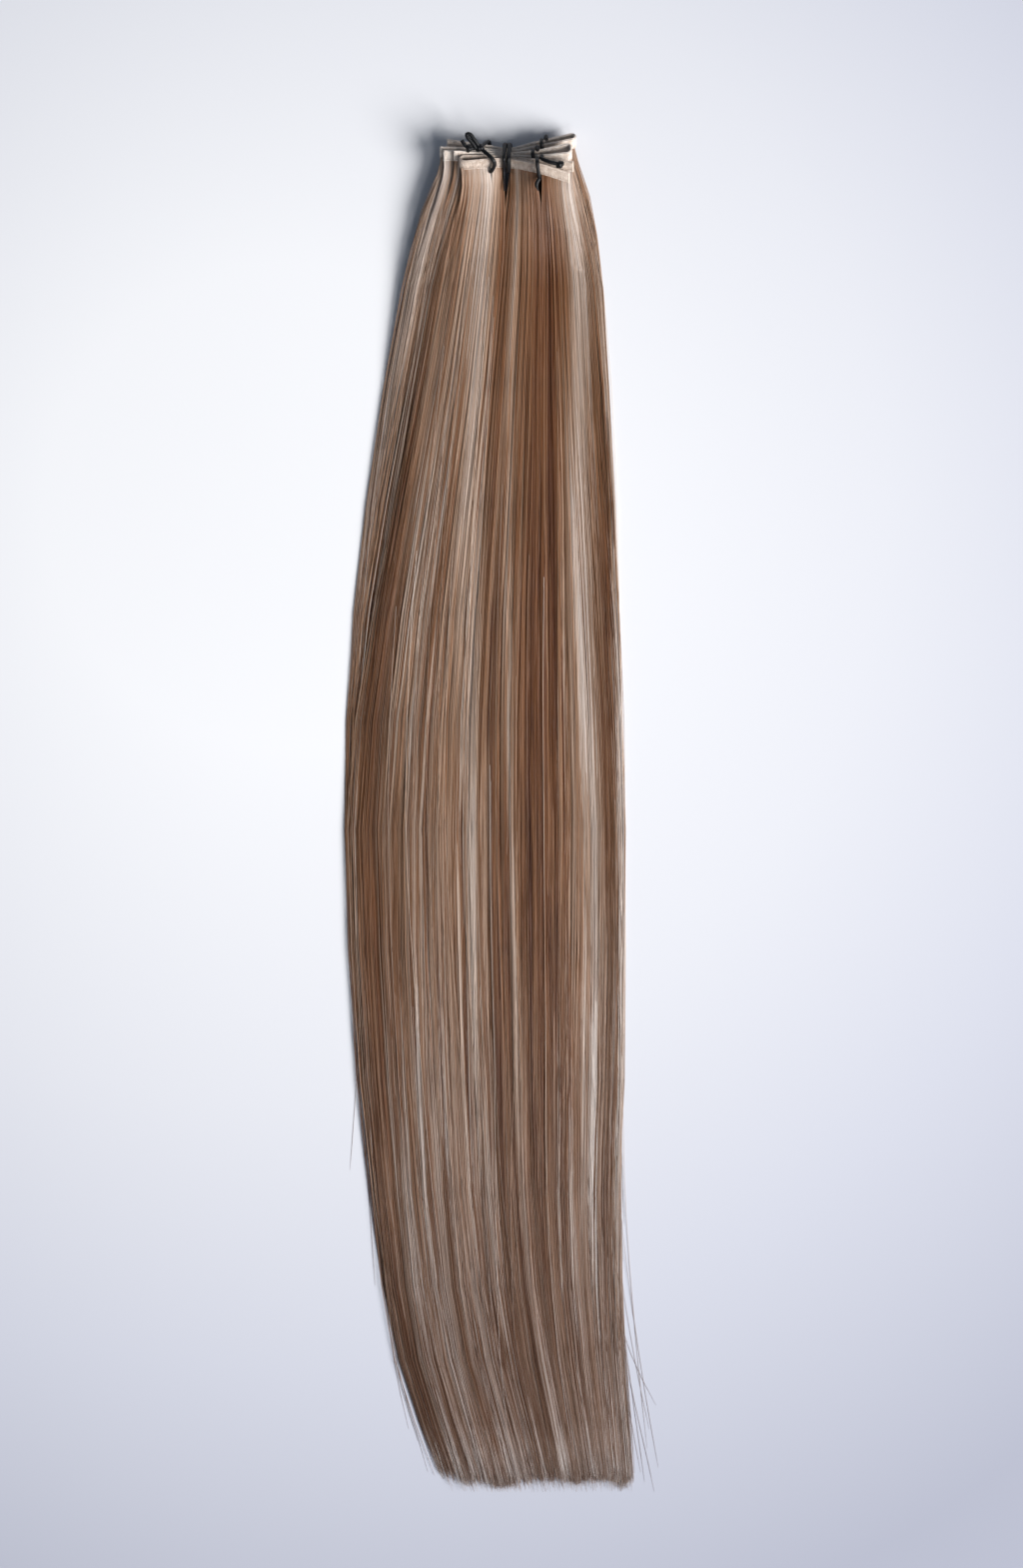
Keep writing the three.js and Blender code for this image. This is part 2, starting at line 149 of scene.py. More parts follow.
# Roots: inset from a run's ends, depth through the band, and lengths in which hair settles and fans out
ROOT_INSET, ROOT_DEPTH = 0.3, 0.5
SETTLE_LENGTH, FAN_LENGTH = 34.0, 22.0
SETTLE_CURVE = 1.6

# Partings where a cord passes between strands: width to each side, length
LEFT_PARTING, CENTRE_PARTING, OWN_PARTING = (0.4, 8), (1.5, 34), (1.15, 18)
PARTING_REACH = 3.0

# How far the blunt cut falls short across the tips: share of the width, millimetres
CUT = [
    (0, 3.6), (0.1, 2), (0.22, 0.4), (0.35, 1), (0.48, 2.4),
    (0.6, 3.2), (0.72, 2.6), (0.85, 1.8), (1, 0.3),
]

# Uneven ends: how far strands may pass the cut, unevenness of tufts and of strands, a few broken or left long
CUT_PAST, TUFT_UNEVEN, STRAND_UNEVEN = 4.4, 2.8, 2.2
BROKEN_SHARE, BROKEN_BY = 0.14, (2, 14)
LONG_SHARE, LONG_BY = 0.08, (1, 5)
TRIM_RANGE = (-6, 22)
EARLIEST_END = 538.5

# Locks and tufts: how many, widths, shift, hold and cut of locks, and how far neighbouring tufts mix
LOCKS = 64
LEAST_LOCK, LOCK_SPREAD = 0.3, (1.8, 0.5)
LOCK_SHIFT, LOCK_HOLD, LOCK_CUT = 0.004, (0.2, 1.5), 1.3
STRANDS_IN_TUFT = 10
TUFT_MIXING = 0.3

# Changes down the hair: amount if it is set here, where it begins, and the length over which it grows
TUFT_GATHERS = [(0.3, 0, 160), (0.3, 300, 240)]
LOCK_HOLDS = [(0.14, 40, 150), (0.24, 240, 240)]
OWN_TONE_AT_HEAD, OWN_TONE_GROWS = 0.45, [(0.5, 0, 190), (0.55, 300, 160)]
HEAD_TO_LOW = (30, 280)
DRIFT_GROWS, DRIFT_WIDENS = (0, 350), (330, 220)
TUFT_SWING_GROWS = (180, 260)
SWEEP_GROWS = (450, 120)

# Shares of the width: drift of tufts and strands, feathering of the edges, sweep of the tips, overhang
TUFT_DRIFT, STRAND_DRIFT = 0.006, 0.0042
FEATHER, FEATHER_LENGTH, EDGE_FADE = 0.07, 60, 0.07
TIP_SWEEP = 0.05
OVERHANG = 0.008

# Waves sideways and up and down: size, and length down the hair for each radian
HAIR_SWING, STRAND_SWING, TUFT_SWING = (0.9, 118), (0.35, 47), (0.65, 33)
TUFT_RISE, TUFT_SLOW_RISE, STRAND_RISE = (0.2, 37), (0.16, 81), (0.08, 29)
SWING_CELLS, SWING_LENGTH = 14, 120

# Depth: fall towards the edges, drop of edge strands, grooves between locks, hair raised at the head's left
EDGE_FALL, EDGE_FALL_LENGTH, EDGE_FALL_CURVE = (0.25, 0.72), 170, 2.6
TUFT_DEPTH, EDGE_DROP = 0.6, 0.3
LOCK_GROOVE, GROOVE_LENGTH = 2.0, 120
LEFT_RAISE, LEFT_RAISE_WIDTH, LEFT_RAISE_CURVE, LEFT_RAISE_LENGTH = 6, 0.16, 1.6, 116

# Streaks: share of the width at the head, halfway and at the tips, half width, lightness added at each
# Beside the hair's own streaks, some lightness is painted light: the streak under the front fold carries a
# painted highlight at the head, and the two left-edge streaks are lifted against their side's shade at the
# head and tips
STREAKS = [
    (0.06, 0.0, 0.0, 0.04, 0.5, 0.2, 0.28),
    (0.125, 0.1, 0.07, 0.05, 0.1, -0.12, 0.13),
    (0.19, 0.235, 0.23, 0.042, 0.2, 0.2, 0.06),
    (0.3, 0.31, 0.3, 0.04, 0.2, 0.17, 0.05),
    (0.385, 0.44, 0.38, 0.05, 0.46, 0.27, 0.04),
    (0.46, 0.455, 0.46, 0.014, 0.1, 0.2, 0.1),
    (0.5, 0.525, 0.55, 0.035, -0.1, -0.14, -0.06),
    (0.56, 0.6, 0.66, 0.02, 0.28, 0.3, 0.2),
    (0.72, 0.695, 0.76, 0.07, -0.2, -0.25, -0.08),
    (0.89, 0.79, 0.79, 0.047, 0.4, 0.05, 0.0),
    (0.8, 0.885, 0.9, 0.042, 0.0, 0.32, 0.1),
    (0.96, 0.955, 0.97, 0.026, 0.08, -0.2, 0.03),
    (1.0, 1.0, 1.0, 0.017, 0.25, 0.62, 0.16),
]
STREAK_PLACES = [60, 300, 520]
STREAK_TONES = [60, 230, 340, 530]
PLAIN_TONE = 0.28

# Lightness of tufts and strands: tint of tufts, across the hair and of strands, painted shade on sunken
# tufts, tufts picked as light or dark, and lighter ends that are partly painted light
TUFT_TINT, ACROSS_TINT, STRAND_TINT = 0.12, 0.08, 0.06
TINT_CELLS, ASH_CELLS = 40, 44
SUNKEN_SHARE, SUNKEN_PAINTED_SHADE = 0.12, 0.24
LIGHT_PICK, DARK_PICK, PICK_SHARE = 0.84, 0.06, 0.26
TIP_LIGHTER = 0.17

# Chance of an ash strand: everywhere, slow change across, and strips with their middle, half width and chance
PLAIN_ASH, ACROSS_ASH = 0.08, 0.6
ASH_STRIPS = [(0.88, 0.055, 1.0), (0.02, 0.035, 0.7), (0.7, 0.09, -0.6)]

# Hair's map: width of a strand's strip, margin above and below
TONE_WIDTH = 0.0125
MAP_MARGIN = 0.015

# Loose strands at the edges: side, along where they leave the hair and where they end, reach outwards
FLYAWAYS = [
    (1, 300, 470, 3.5), (1, 350, 548, 9), (1, 405, 556, 13), (1, 430, 540, 10.5), (1, 452, 562, 7),
    (1, 470, 530, 14), (1, 480, 566, 11), (1, 495, 558, 5.5), (1, 385, 455, 4.5), (1, 120, 330, 2.2),
    (1, 180, 300, 1.8), (-1, 110, 240, 2), (-1, 240, 420, 3.2), (-1, 370, 432, 9.5), (-1, 380, 480, 5),
    (-1, 425, 540, 6.5), (-1, 460, 558, 5), (-1, 300, 400, 2.6), (-1, 485, 545, 4.5),
]

# Loose strands on the face: how many, and the ranges of the same values, with the share of the width
FACE_STRAYS = 22
STRAY_LEAVE, STRAY_END, STRAY_REACH, STRAY_SHARE = (120, 430), (480, 556), (-9, 9), (0.12, 0.88)

# All loose strands: stations, part within the hair, bow, curve, heights, thickness and lightness
LOOSE_STATIONS, LOOSE_ROOT, LOOSE_START, LOOSE_INSET = 17, 110, 60, 0.6
LOOSE_BOW, LOOSE_CURVE = (-0.25, 0.4), 1.7
LOOSE_ON_FACE, LOOSE_AT_EDGE, LOOSE_DROP_RATE, LOOSE_RISE = 0.25, 1.6, 1.6, (0.1, 23)
LOOSE_THICK, LOOSE_TIP = 0.64, 0.4
LOOSE_TONE, FACE_LIGHTER = (0.2, 0.7), 0.15

# Hair colours from dark to light, at even steps of lightness
HAIR_COLOURS = {
    "warm": [(83, 41, 11), (118, 72, 36), (144, 105, 75), (173, 143, 121), (203, 181, 165), (238, 225, 213)],
    "ash": [(84, 45, 16), (115, 76, 45), (140, 110, 88), (169, 146, 130), (200, 184, 174), (239, 231, 226)],
    "tips": [(80, 50, 31), (110, 82, 64), (135, 115, 105), (162, 148, 143), (195, 185, 181), (238, 231, 227)],
}

# Hair's shading: share of the stations where the tips' colours begin, with painted shade darkening them, and
# where the roots' painted sheen ends, and clouds
FADE_START, TIPS_PAINTED_SHADE = 0.54, 0.12
PAINTED_SHEEN_END, PAINTED_SHEEN_LIGHTER = 0.27, 0.14
CLOUD_STRETCH, CLOUD_TONE = (90, 9, 1), 0.16

# Table colours by distance from the middle of a painted pool of light, in metres: painted light fading
# outwards to painted shade
PAINTED_POOL_MIDDLE = (-0.085, 0.125, 0.0)
TABLE_PAINTED_FALLOFF = [
    (0.1, (0.825, 0.83, 0.856)),
    (0.25, (0.685, 0.695, 0.745)),
    (0.36, (0.55, 0.565, 0.64)),
    (0.5, (0.37, 0.385, 0.465)),
    (1.0, (0.3, 0.315, 0.39)),
]
TABLE_HALF = 8.0

# Lights: place and width in metres, power in watts
LIGHTS = {
    "window_light": ((3.75, -1.5, 2.72), 3.1, 448),
    "small_window_light": ((0.9, -1.5, 2.43), 0.9, 15),
}
LIGHT_COLOUR = (1.0, 0.985, 0.965)
ROOM_COLOUR, ROOM_STRENGTH = (0.66, 0.8, 1.0, 1), 0.16

# Photo: height in pixels, size of a pixel, and its middle in pixels right of x = 0 and along from the head
PHOTO_TALL = 1569
PHOTO_MM = 0.41667
PHOTO_RIGHT, PHOTO_ALONG = 22, 650.5
CAMERA_HEIGHT = 5.0
SENSOR_MM = 36

rng = np.random.default_rng(22)

# Locks that all the layers share: where one ends across the hair, its middle, shift, hold and cut
lock_widths = LEAST_LOCK + rng.gamma(*LOCK_SPREAD, LOCKS)
lock_ends = np.concatenate([[0], np.cumsum(lock_widths) / lock_widths.sum()])
lock_middle = (lock_ends[1:] + lock_ends[:-1]) / 2
lock_shift = rng.normal(0, LOCK_SHIFT, LOCKS)
lock_hold = rng.uniform(*LOCK_HOLD, LOCKS)
lock_cut = rng.normal(0, LOCK_CUT, LOCKS)


# Number helpers

def read_table(rows, at):
    """Smooth values of a table's columns at places in its first column."""
    rows = np.array(rows, float)
    spots, value = rows[:, 0], rows[:, 1:]
    slope = np.gradient(value, spots, axis=0, edge_order=1)
    at = np.clip(np.asarray(at, float), spots[0], spots[-1])
    k = np.clip(np.searchsorted(spots, at) - 1, 0, len(spots) - 2)
    span = (spots[k + 1] - spots[k])[..., None]
    t = (at - spots[k])[..., None] / span
    return np.moveaxis(
        value[k] * (1 + 2 * t) * (1 - t) ** 2
        + slope[k] * span * t * (1 - t) ** 2
        + value[k + 1] * t * t * (3 - 2 * t)
        + slope[k + 1] * span * t * t * (t - 1),
        -1, 0,
    )


def smooth(share):
    t = np.clip(share, 0, 1)
    return t * t * (3 - 2 * t)


def mix(a, b, share):
    return a + (b - a) * share


def grown(along, begin, length):
    """0 down to a place along the hair, then growing smoothly to 1."""
    return smooth((along - begin) / length)


def build_up(changes, along):
    return sum(amount * grown(along, begin, length) for amount, begin, length in changes)


def bell(share, middle, half_width):
    return np.exp(-(((share - middle) / half_width) ** 2))


def near_edge(share):
    """1 at the hair's two edges, fading inwards."""
    return np.exp(-np.minimum(share, 1 - share) / EDGE_FADE)


def wave(size_and_length, along, start):
    size, length = size_and_length
    return size * np.sin(along / length + start)


def place(x, along, z):
    """Points in the row frame, in millimetres."""
    x, along, z = np.broadcast_arrays(x, along, z)
    return np.stack([x, HAIR_LENGTH / 2 - along, z], -1).astype(float)


def unit(vectors):
    return vectors / np.maximum(np.linalg.norm(vectors, axis=-1, keepdims=True), 1e-9)


def lengths_along(path):
    return np.concatenate([[0], np.cumsum(np.linalg.norm(np.diff(path, axis=0), axis=1))])


def run_at(rows, x):
    """A band run's lower edge at x, the way up its face and the way out of it."""
    x = np.asarray(x, float)
    top, low, lean = read_table(rows, x)
    lean = np.radians(lean)
    zero = np.zeros_like(lean)
    up = np.stack([zero, np.cos(lean), np.sin(lean)], -1)
    out = np.stack([zero, -np.sin(lean), np.cos(lean)], -1)
    return place(x, top + BAND_HEIGHT * np.cos(lean), low), up, out


# Shader helpers

def new_material(name, **values):
    made = bpy.data.materials.new(name)
    made.use_nodes = True
    shader = made.node_tree.nodes["Principled BSDF"]
    for socket, value in values.items():
        shader.inputs[socket.replace("_", " ")].default_value = value
    return made, made.node_tree, shader


def add(tree, kind, **settings):
    node = tree.nodes.new(kind)
    for name, value in settings.items():
        setattr(node, name, value)
    return node


def ramp(tree, stops):
    node = add(tree, "ShaderNodeValToRGB")
    elements = node.color_ramp.elements
    while len(elements) < len(stops):
        elements.new(0.5)
    for element, (position, colour) in zip(elements, stops):
        element.position = position
        element.color = (*colour, 1)
    return node


def srgb(red, green, blue):
    def linear(v):
        v /= 255
        return v / 12.92 if v <= 0.04045 else ((v + 0.055) / 1.055) ** 2.4
    return tuple(linear(v) for v in (red, green, blue))


def calc(tree, operation, first, second=None):
    node = add(tree, "ShaderNodeMath", operation=operation)
    for socket, value in zip(node.inputs, (first, second)):
        if value is None:
            continue
        if isinstance(value, (int, float)):
            socket.default_value = value
        else:
            tree.links.new(value, socket)
    return node.outputs[0]


def blend(tree, share, first, second):
    node = add(tree, "ShaderNodeMix", data_type="RGBA")
    for socket, value in (("Factor", share), ("A", first), ("B", second)):
        tree.links.new(value, node.inputs[socket])
    return node.outputs["Result"]


def smooth_range(tree, value, **limits):
    node = add(tree, "ShaderNodeMapRange", interpolation_type="SMOOTHSTEP")
    for socket, limit in limits.items():
        node.inputs[socket.replace("_", " ")].default_value = limit
    tree.links.new(value, node.inputs["Value"])
    return node.outputs["Result"]


def add_bump(tree, shader, height, strength, distance):
    bump = add(tree, "ShaderNodeBump")
    bump.inputs["Strength"].default_value = strength
    bump.inputs["Distance"].default_value = distance
    tree.links.new(height, bump.inputs["Height"])
    tree.links.new(bump.outputs[0], shader.inputs["Normal"])


def make_thread_shading():
    """A node group that shades threads between a dark and a light colour, and gives their relief."""
    group = bpy.data.node_groups.new("thread_shading", "ShaderNodeTree")
    for name, kind in (
        ("Place", "Vector"), ("Fineness", "Float"), ("Detail", "Float"),
        ("Darkest", "Float"), ("Lightest", "Float"), ("Dark", "Color"), ("Light", "Color"),
    ):
        group.interface.new_socket(name, in_out="INPUT", socket_type=f"NodeSocket{kind}")
    for name, kind in (("Shade", "Color"), ("Relief", "Float")):
        group.interface.new_socket(name, in_out="OUTPUT", socket_type=f"NodeSocket{kind}")
    given = add(group, "NodeGroupInput").outputs
    result = add(group, "NodeGroupOutput").inputs
    cloud = add(group, "ShaderNodeTexNoise")
    share = add(group, "ShaderNodeMapRange")
    for source, socket in (
        (given["Place"], cloud.inputs["Vector"]),
        (given["Fineness"], cloud.inputs["Scale"]),
        (given["Detail"], cloud.inputs["Detail"]),
        (cloud.outputs[0], share.inputs["Value"]),
        (given["Darkest"], share.inputs["From Min"]),
        (given["Lightest"], share.inputs["From Max"]),
        (blend(group, share.outputs["Result"], given["Dark"], given["Light"]), result["Shade"]),
        (cloud.outputs[0], result["Relief"]),
    ):
        group.links.new(source, socket)
    return group


thread_shading = make_thread_shading()


def shade_threads(tree, spot, dark, light, **values):
    """The thread shading placed in a material, with its colours and its own values."""
    node = add(tree, "ShaderNodeGroup", node_tree=thread_shading)
    tree.links.new(spot, node.inputs["Place"])
    node.inputs["Dark"].default_value = (*srgb(*dark), 1)
    node.inputs["Light"].default_value = (*srgb(*light), 1)
    for socket, value in values.items():
        node.inputs[socket].default_value = value
    return node.outputs


# Finishes

def make_hair_finish():
    """Hair coloured by its map: lightness runs across, and up it the warmth and the place down the hair."""
    made, tree, shader = new_material("blended_hair", Roughness=0.36, Specular_IOR_Level=0.42)
    uv = add(tree, "ShaderNodeUVMap", uv_map="OFBake")
    split = add(tree, "ShaderNodeSeparateXYZ")
    tree.links.new(uv.outputs[0], split.inputs[0])
    stretch = add(tree, "ShaderNodeMapping")
    stretch.inputs["Scale"].default_value = CLOUD_STRETCH
    tree.links.new(uv.outputs[0], stretch.inputs["Vector"])
    cloud = add(tree, "ShaderNodeTexNoise")
    cloud.inputs["Scale"].default_value = 1.0
    cloud.inputs["Detail"].default_value = 2.0
    tree.links.new(stretch.outputs[0], cloud.inputs["Vector"])
    drift = calc(tree, "MULTIPLY", calc(tree, "SUBTRACT", cloud.outputs[0], 0.5), CLOUD_TONE)
    down = calc(tree, "FRACT", calc(tree, "MULTIPLY", split.outputs[1], 2.0))
    faded = smooth_range(tree, down, From_Min=FADE_START)
    # Painted sheen: the hair near the roots is painted lighter, a painted highlight where it curves down from
    # the bands
    painted_sheen = smooth_range(tree, down, From_Max=PAINTED_SHEEN_END, To_Min=PAINTED_SHEEN_LIGHTER, To_Max=0.0)
    tone = calc(tree, "ADD", split.outputs[0], drift)
    # Painted shade: the hair is painted darker towards the tips, where the light falls off down the table
    tone = calc(tree, "SUBTRACT", tone, calc(tree, "MULTIPLY", faded, TIPS_PAINTED_SHADE))
    tone = calc(tree, "ADD", tone, painted_sheen)
    coloured = {}
    for name, steps in HAIR_COLOURS.items():
        colours = ramp(tree, [(i / (len(steps) - 1), srgb(*step)) for i, step in enumerate(steps)])
        tree.links.new(tone, colours.inputs[0])
        coloured[name] = colours.outputs[0]
    ashy = calc(tree, "GREATER_THAN", split.outputs[1], 0.5)
    upper = blend(tree, ashy, coloured["warm"], coloured["ash"])
    tree.links.new(blend(tree, faded, upper, coloured["tips"]), shader.inputs["Base Color"])
    return made


def make_tape_finish(name, dark, light):
    """Cream and taupe seam tape with fine upright threads."""
    made, tree, shader = new_material(name, Roughness=0.7, Specular_IOR_Level=0.3)
    uv = add(tree, "ShaderNodeUVMap", uv_map="tape")
    stretch = add(tree, "ShaderNodeMapping")
    stretch.inputs["Scale"].default_value = (4.5, 0.5, 1)
    tree.links.new(uv.outputs[0], stretch.inputs["Vector"])
    threads = shade_threads(
        tree, stretch.outputs[0], dark, light, Fineness=1.0, Detail=3.0, Darkest=0.3, Lightest=0.7
    )
    tree.links.new(threads["Shade"], shader.inputs["Base Color"])
    add_bump(tree, shader, threads["Relief"], strength=0.5, distance=0.0002)
    return made


def make_thread_finish(name, dark, light):
    """Seam thread with small changes of shade."""
    made, tree, shader = new_material(name, Roughness=0.55, Specular_IOR_Level=0.4)
    coords = add(tree, "ShaderNodeTexCoord")
    threads = shade_threads(
        tree, coords.outputs["Object"], dark, light, Fineness=620.0, Detail=1.0, Darkest=0.32, Lightest=0.66
    )
    tree.links.new(threads["Shade"], shader.inputs["Base Color"])
    return made


def make_cord_finish():
    """Black satin braid: crossed ribs round and along the cord."""
    ribs_round, rib_length = 5, 0.9
    made, tree, shader = new_material("satin_cord", Specular_IOR_Level=0.3)
    uv = add(tree, "ShaderNodeUVMap", uv_map="braid")
    split = add(tree, "ShaderNodeSeparateXYZ")
    tree.links.new(uv.outputs[0], split.inputs[0])
    around = calc(tree, "MULTIPLY", split.outputs[0], ribs_round * math.tau)
    down = calc(tree, "MULTIPLY", split.outputs[1], math.tau / rib_length)
    one = calc(tree, "SINE", calc(tree, "ADD", around, down))
    two = calc(tree, "SINE", calc(tree, "SUBTRACT", around, down))
    ribs = calc(tree, "MAXIMUM", one, two)
    # The grooves between the ribs are painted a touch darker than the crests: painted shade
    colours = ramp(tree, [(0.0, (0.002, 0.002, 0.003)), (1.0, (0.008, 0.008, 0.01))])
    tree.links.new(ribs, colours.inputs[0])
    tree.links.new(colours.outputs[0], shader.inputs["Base Color"])
    rough = calc(tree, "SUBTRACT", 0.46, calc(tree, "MULTIPLY", ribs, 0.1))
    tree.links.new(rough, shader.inputs["Roughness"])
    add_bump(tree, shader, ribs, strength=0.4, distance=0.0001)
    return made


hair_finish = make_hair_finish()
# The rear bands' tape and thread are the same as the front band's, painted lighter: painted light lifting the
# shade the rear bands lie in behind the front band
band_finishes = {
    "front": [
        make_tape_finish("front_seam_tape", (190, 170, 155), (220, 205, 193)),
        make_thread_finish("front_seam_thread", (186, 167, 152), (224, 211, 200)),
    ],
    "rear": [
        make_tape_finish("rear_seam_tape_painted_light", (224, 207, 193), (244, 234, 225)),
        make_thread_finish("rear_seam_thread_painted_light", (216, 200, 187), (246, 237, 228)),
    ],
}
cord_finish = make_cord_finish()


# Mesh helpers

def sweep(path, across, upward, widths, heights, sides, maps):
    """A closed tube in its own mesh: a ring extruded along a path, with named maps of round and along."""
    turns = (np.arange(sides) + 0.5) * math.tau / sides
    ring_x, ring_y = np.cos(turns), np.sin(turns)
    bm = bmesh.new()
    ring = bmesh.ops.create_circle(bm, segments=sides, radius=1)["verts"]
    edges = list(bm.edges)
    number = {}
    length = lengths_along(path)
    for i, spot in enumerate(path):
        if i:
            made = bmesh.ops.extrude_edge_only(bm, edges=edges)["geom"]
            fresh = {g for g in made if isinstance(g, bmesh.types.BMVert)}
            edges = [g for g in made if isinstance(g, bmesh.types.BMEdge) and set(g.verts) <= fresh]
            ring = [next(w for w in (e.other_vert(v) for e in v.link_edges) if w in fresh) for v in ring]
        for k, v in enumerate(ring):
            number[v] = (i, k)
            v.co = spot + across[i] * (ring_x[k] * widths[i]) + upward[i] * (ring_y[k] * heights[i])
    bmesh.ops.holes_fill(bm, edges=[e for e in bm.edges if e.is_boundary], sides=0)
    bmesh.ops.recalc_face_normals(bm, faces=list(bm.faces))
    for name, (scale_round, scale_along, shift) in maps.items():
        layer = bm.loops.layers.uv.new(name)
        for face in bm.faces:
            places = [number[v] for v in face.verts]
            wraps = max(k for _, k in places) - min(k for _, k in places) > sides / 2 and len(places) == 4
            for loop, (i, k) in zip(face.loops, places):
                turned = k + sides if wraps and k < sides / 2 else k
                loop[layer].uv = (turned / sides * scale_round + shift, length[i] * scale_along)
    for face in bm.faces:
        face.smooth = len(face.verts) == 4
    mesh = bpy.data.meshes.new("tube")
    bm.to_mesh(mesh)
    bm.free()
    return mesh


def ways_across(path):
    """Two ways across a path that turn as little as they can."""
    along = unit(np.gradient(path, axis=0))
    across = np.empty_like(along)
    side = np.cross(along[0], [0, 0, 1.0])
    side = side if np.linalg.norm(side) > 1e-3 else np.array([1.0, 0, 0])
    for i, way in enumerate(along):
        side = side - way * (side @ way)
        side = side / np.linalg.norm(side)
        across[i] = side
    return across, np.cross(across, along)


def join(name, meshes, finishes):
    """Meshes in millimetres made one object in metres."""
    bm = bmesh.new()
    for mesh, slot in meshes:
        start = len(bm.faces)
        bm.from_mesh(mesh)
        bm.faces.ensure_lookup_table()
        for face in bm.faces[start:]:
            face.material_index = slot
        bpy.data.meshes.remove(mesh)
    bmesh.ops.scale(bm, vec=(MM, MM, MM), verts=bm.verts)
    made = bpy.data.meshes.new(name)
    bm.to_mesh(made)
    bm.free()
    for finish in finishes:
        made.materials.append(finish)
    return show(name, made)


def show(name, data):
    piece = bpy.data.objects.new(name, data)
    bpy.context.scene.collection.objects.link(piece)
    return piece


def settle(piece, node):
    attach(piece, "root")
    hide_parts(node)


# Seam bands

def band_frames(weft):
    """Close ribs along a folded band, from one free end round the fold to the other."""
    first, second = RUNS[weft]
    side = FOLD_SIDE[weft]
    free, fold = (0, -1) if side > 0 else (-1, 0)
    share = np.linspace(0, 1, RUN_RIBS)
    lower, up, _ = run_at(first, mix(first[free][0], first[fold][0], share))
    lower_2, up_2, _ = run_at(second, mix(second[fold][0], second[free][0], share))
    turn = np.linspace(0, math.pi, FOLD_RIBS + 2)[1:-1]
    bend = ((1 - np.cos(turn)) / 2)[:, None]
    middle = mix(lower[-1], lower_2[0], bend)
    middle[:, 0] += side * FOLD_BULGE[weft] * np.sin(turn) ** FOLD_CURVE
    lower = np.concatenate([lower, middle, lower_2])
    up = np.concatenate([up, unit(mix(up[-1], up_2[0], bend)), up_2])
    out = unit(np.cross(np.gradient(lower, axis=0), up))
    return lower, up, out


def make_band(weft):
    """A folded seam band: slightly wavy tape, seam threads along both faces and upright thread wraps."""
    lower, up, out = band_frames(weft)
    steps = np.arange(len(lower))

    def rib_wave(size, rate, start=0):
        return size * np.sin(steps * rate + start)

    bowed = rib_wave(*TAPE_BOW, TAPE_BOW_START[weft]) + rib_wave(*TAPE_FINE_BOW)
    middle = lower + up * (BAND_HEIGHT / 2) + out * bowed[:, None]
    tall = BAND_HEIGHT / 2 * TAPE_FULL + rib_wave(*TAPE_EDGE_WAVE)
    thick = np.full(len(lower), TAPE_THICK / 2 * TAPE_FULL)
    meshes = [(sweep(middle, up, out, tall, thick, TAPE_SIDES, {"tape": (10, 1, 0)}), 0)]
    for face in (1, -1):
        for height, radius in SEAM_ROWS:
            seam = lower + up * height + out * (face * (TAPE_THICK / 2 + THREAD_PROUD))
            plump = radius * (1 + rib_wave(*SEAM_PLUMP, height))
            thread = sweep(seam, up, out, plump, plump * SEAM_FLAT, SEAM_SIDES, {"tape": (1, 1, 0)})
            meshes.append((thread, 1))
    meshes.append((stitches(lower, up, out), 1))
    finishes = band_finishes["front" if weft == "front" else "rear"]
    settle(join(f"{weft}_seam_band", meshes, finishes), f"{weft}_weft_band")


def stitches(lower, up, out):
    """Upright thread wraps in two rows on both faces of a band, each a small bowed thread."""
    length = lengths_along(lower)
    onward = np.gradient(lower, length, axis=0)
    rings, sides = len(STITCH_BOW), len(STITCH_RING)
    verts, faces = [], []
    begin = 0
    for face in (1, -1):
        for row, (low, high) in enumerate(STITCH_ROWS):
            at = np.arange(STITCH_START + STITCH_ROW_START * row, length[-1] - STITCH_STOP, STITCH_SPACING)
            at = at + rng.uniform(-STITCH_SHIFT, STITCH_SHIFT, len(at))
            base, rise, outward, way = (
                np.stack([np.interp(at, length, part) for part in rows.T], -1)
                for rows in (lower, up, out, onward)
            )
            lean = rng.uniform(-STITCH_LEAN, STITCH_LEAN, len(at))
            grid = np.empty((len(at), rings, sides, 3))
            for s, (share, bow) in enumerate(STITCH_BOW):
                proud = face * (TAPE_THICK / 2 + THREAD_PROUD + bow)
                spot = base + rise * mix(low, high, share) + outward * proud
                spot = spot + way * (lean * (share - 0.5))[:, None]
                for k, (onwards, outwards) in enumerate(STITCH_RING):
                    grid[:, s, k] = spot + way * onwards + outward * (face * outwards)
            verts.append(grid.reshape(-1, 3))
            starts = begin + np.arange(len(at))[:, None] * rings * sides
            begin += len(at) * rings * sides
            for s in range(rings - 1):
                for k in range(sides):
                    n = (k + 1) % sides
                    corners = np.array((k, n, sides + n, sides + k)) + s * sides
                    faces.append(starts + corners)
            faces.append(starts + np.arange(sides)[::-1])
            faces.append(starts + np.arange(sides) + (rings - 1) * sides)
    mesh = bpy.data.meshes.new("stitches")
    mesh.from_pydata(np.concatenate(verts).tolist(), [], np.concatenate(faces).tolist())
    bm = bmesh.new()
    bm.from_mesh(mesh)
    bmesh.ops.recalc_face_normals(bm, faces=list(bm.faces))
    bm.to_mesh(mesh)
    bm.free()
    mesh.shade_smooth()
    return mesh


for weft in RUNS:
    make_band(weft)


# Ties

def hug(rear, front, x):
    """Corners of a loop round the bands from the rear run to the front one."""
    past = CORD_DIAMETER / 2 + CORD_GAP
    aside = BAND_THICK / 2 + past

    def corner(rows, height, side):
        lower, up, out = run_at(rows, x)
        return lower + up * height + out * (side * aside)

    return (
        corner(front, -past, 1),
        corner(front, BAND_HEIGHT + past, 1),
        corner(rear, BAND_HEIGHT + past, -1),
        corner(rear, -past, -1),
    )


def moved(spot, x, along, z):
    return spot + np.array([x, -along, z])


def rounded(corners):
    made = [corners[0]]
    for before, spot, after in zip(corners, corners[1:-1], corners[2:]):
        made += [spot + unit(before - spot) * CORD_CORNER, spot + unit(after - spot) * CORD_CORNER]
    return made + [corners[-1]]


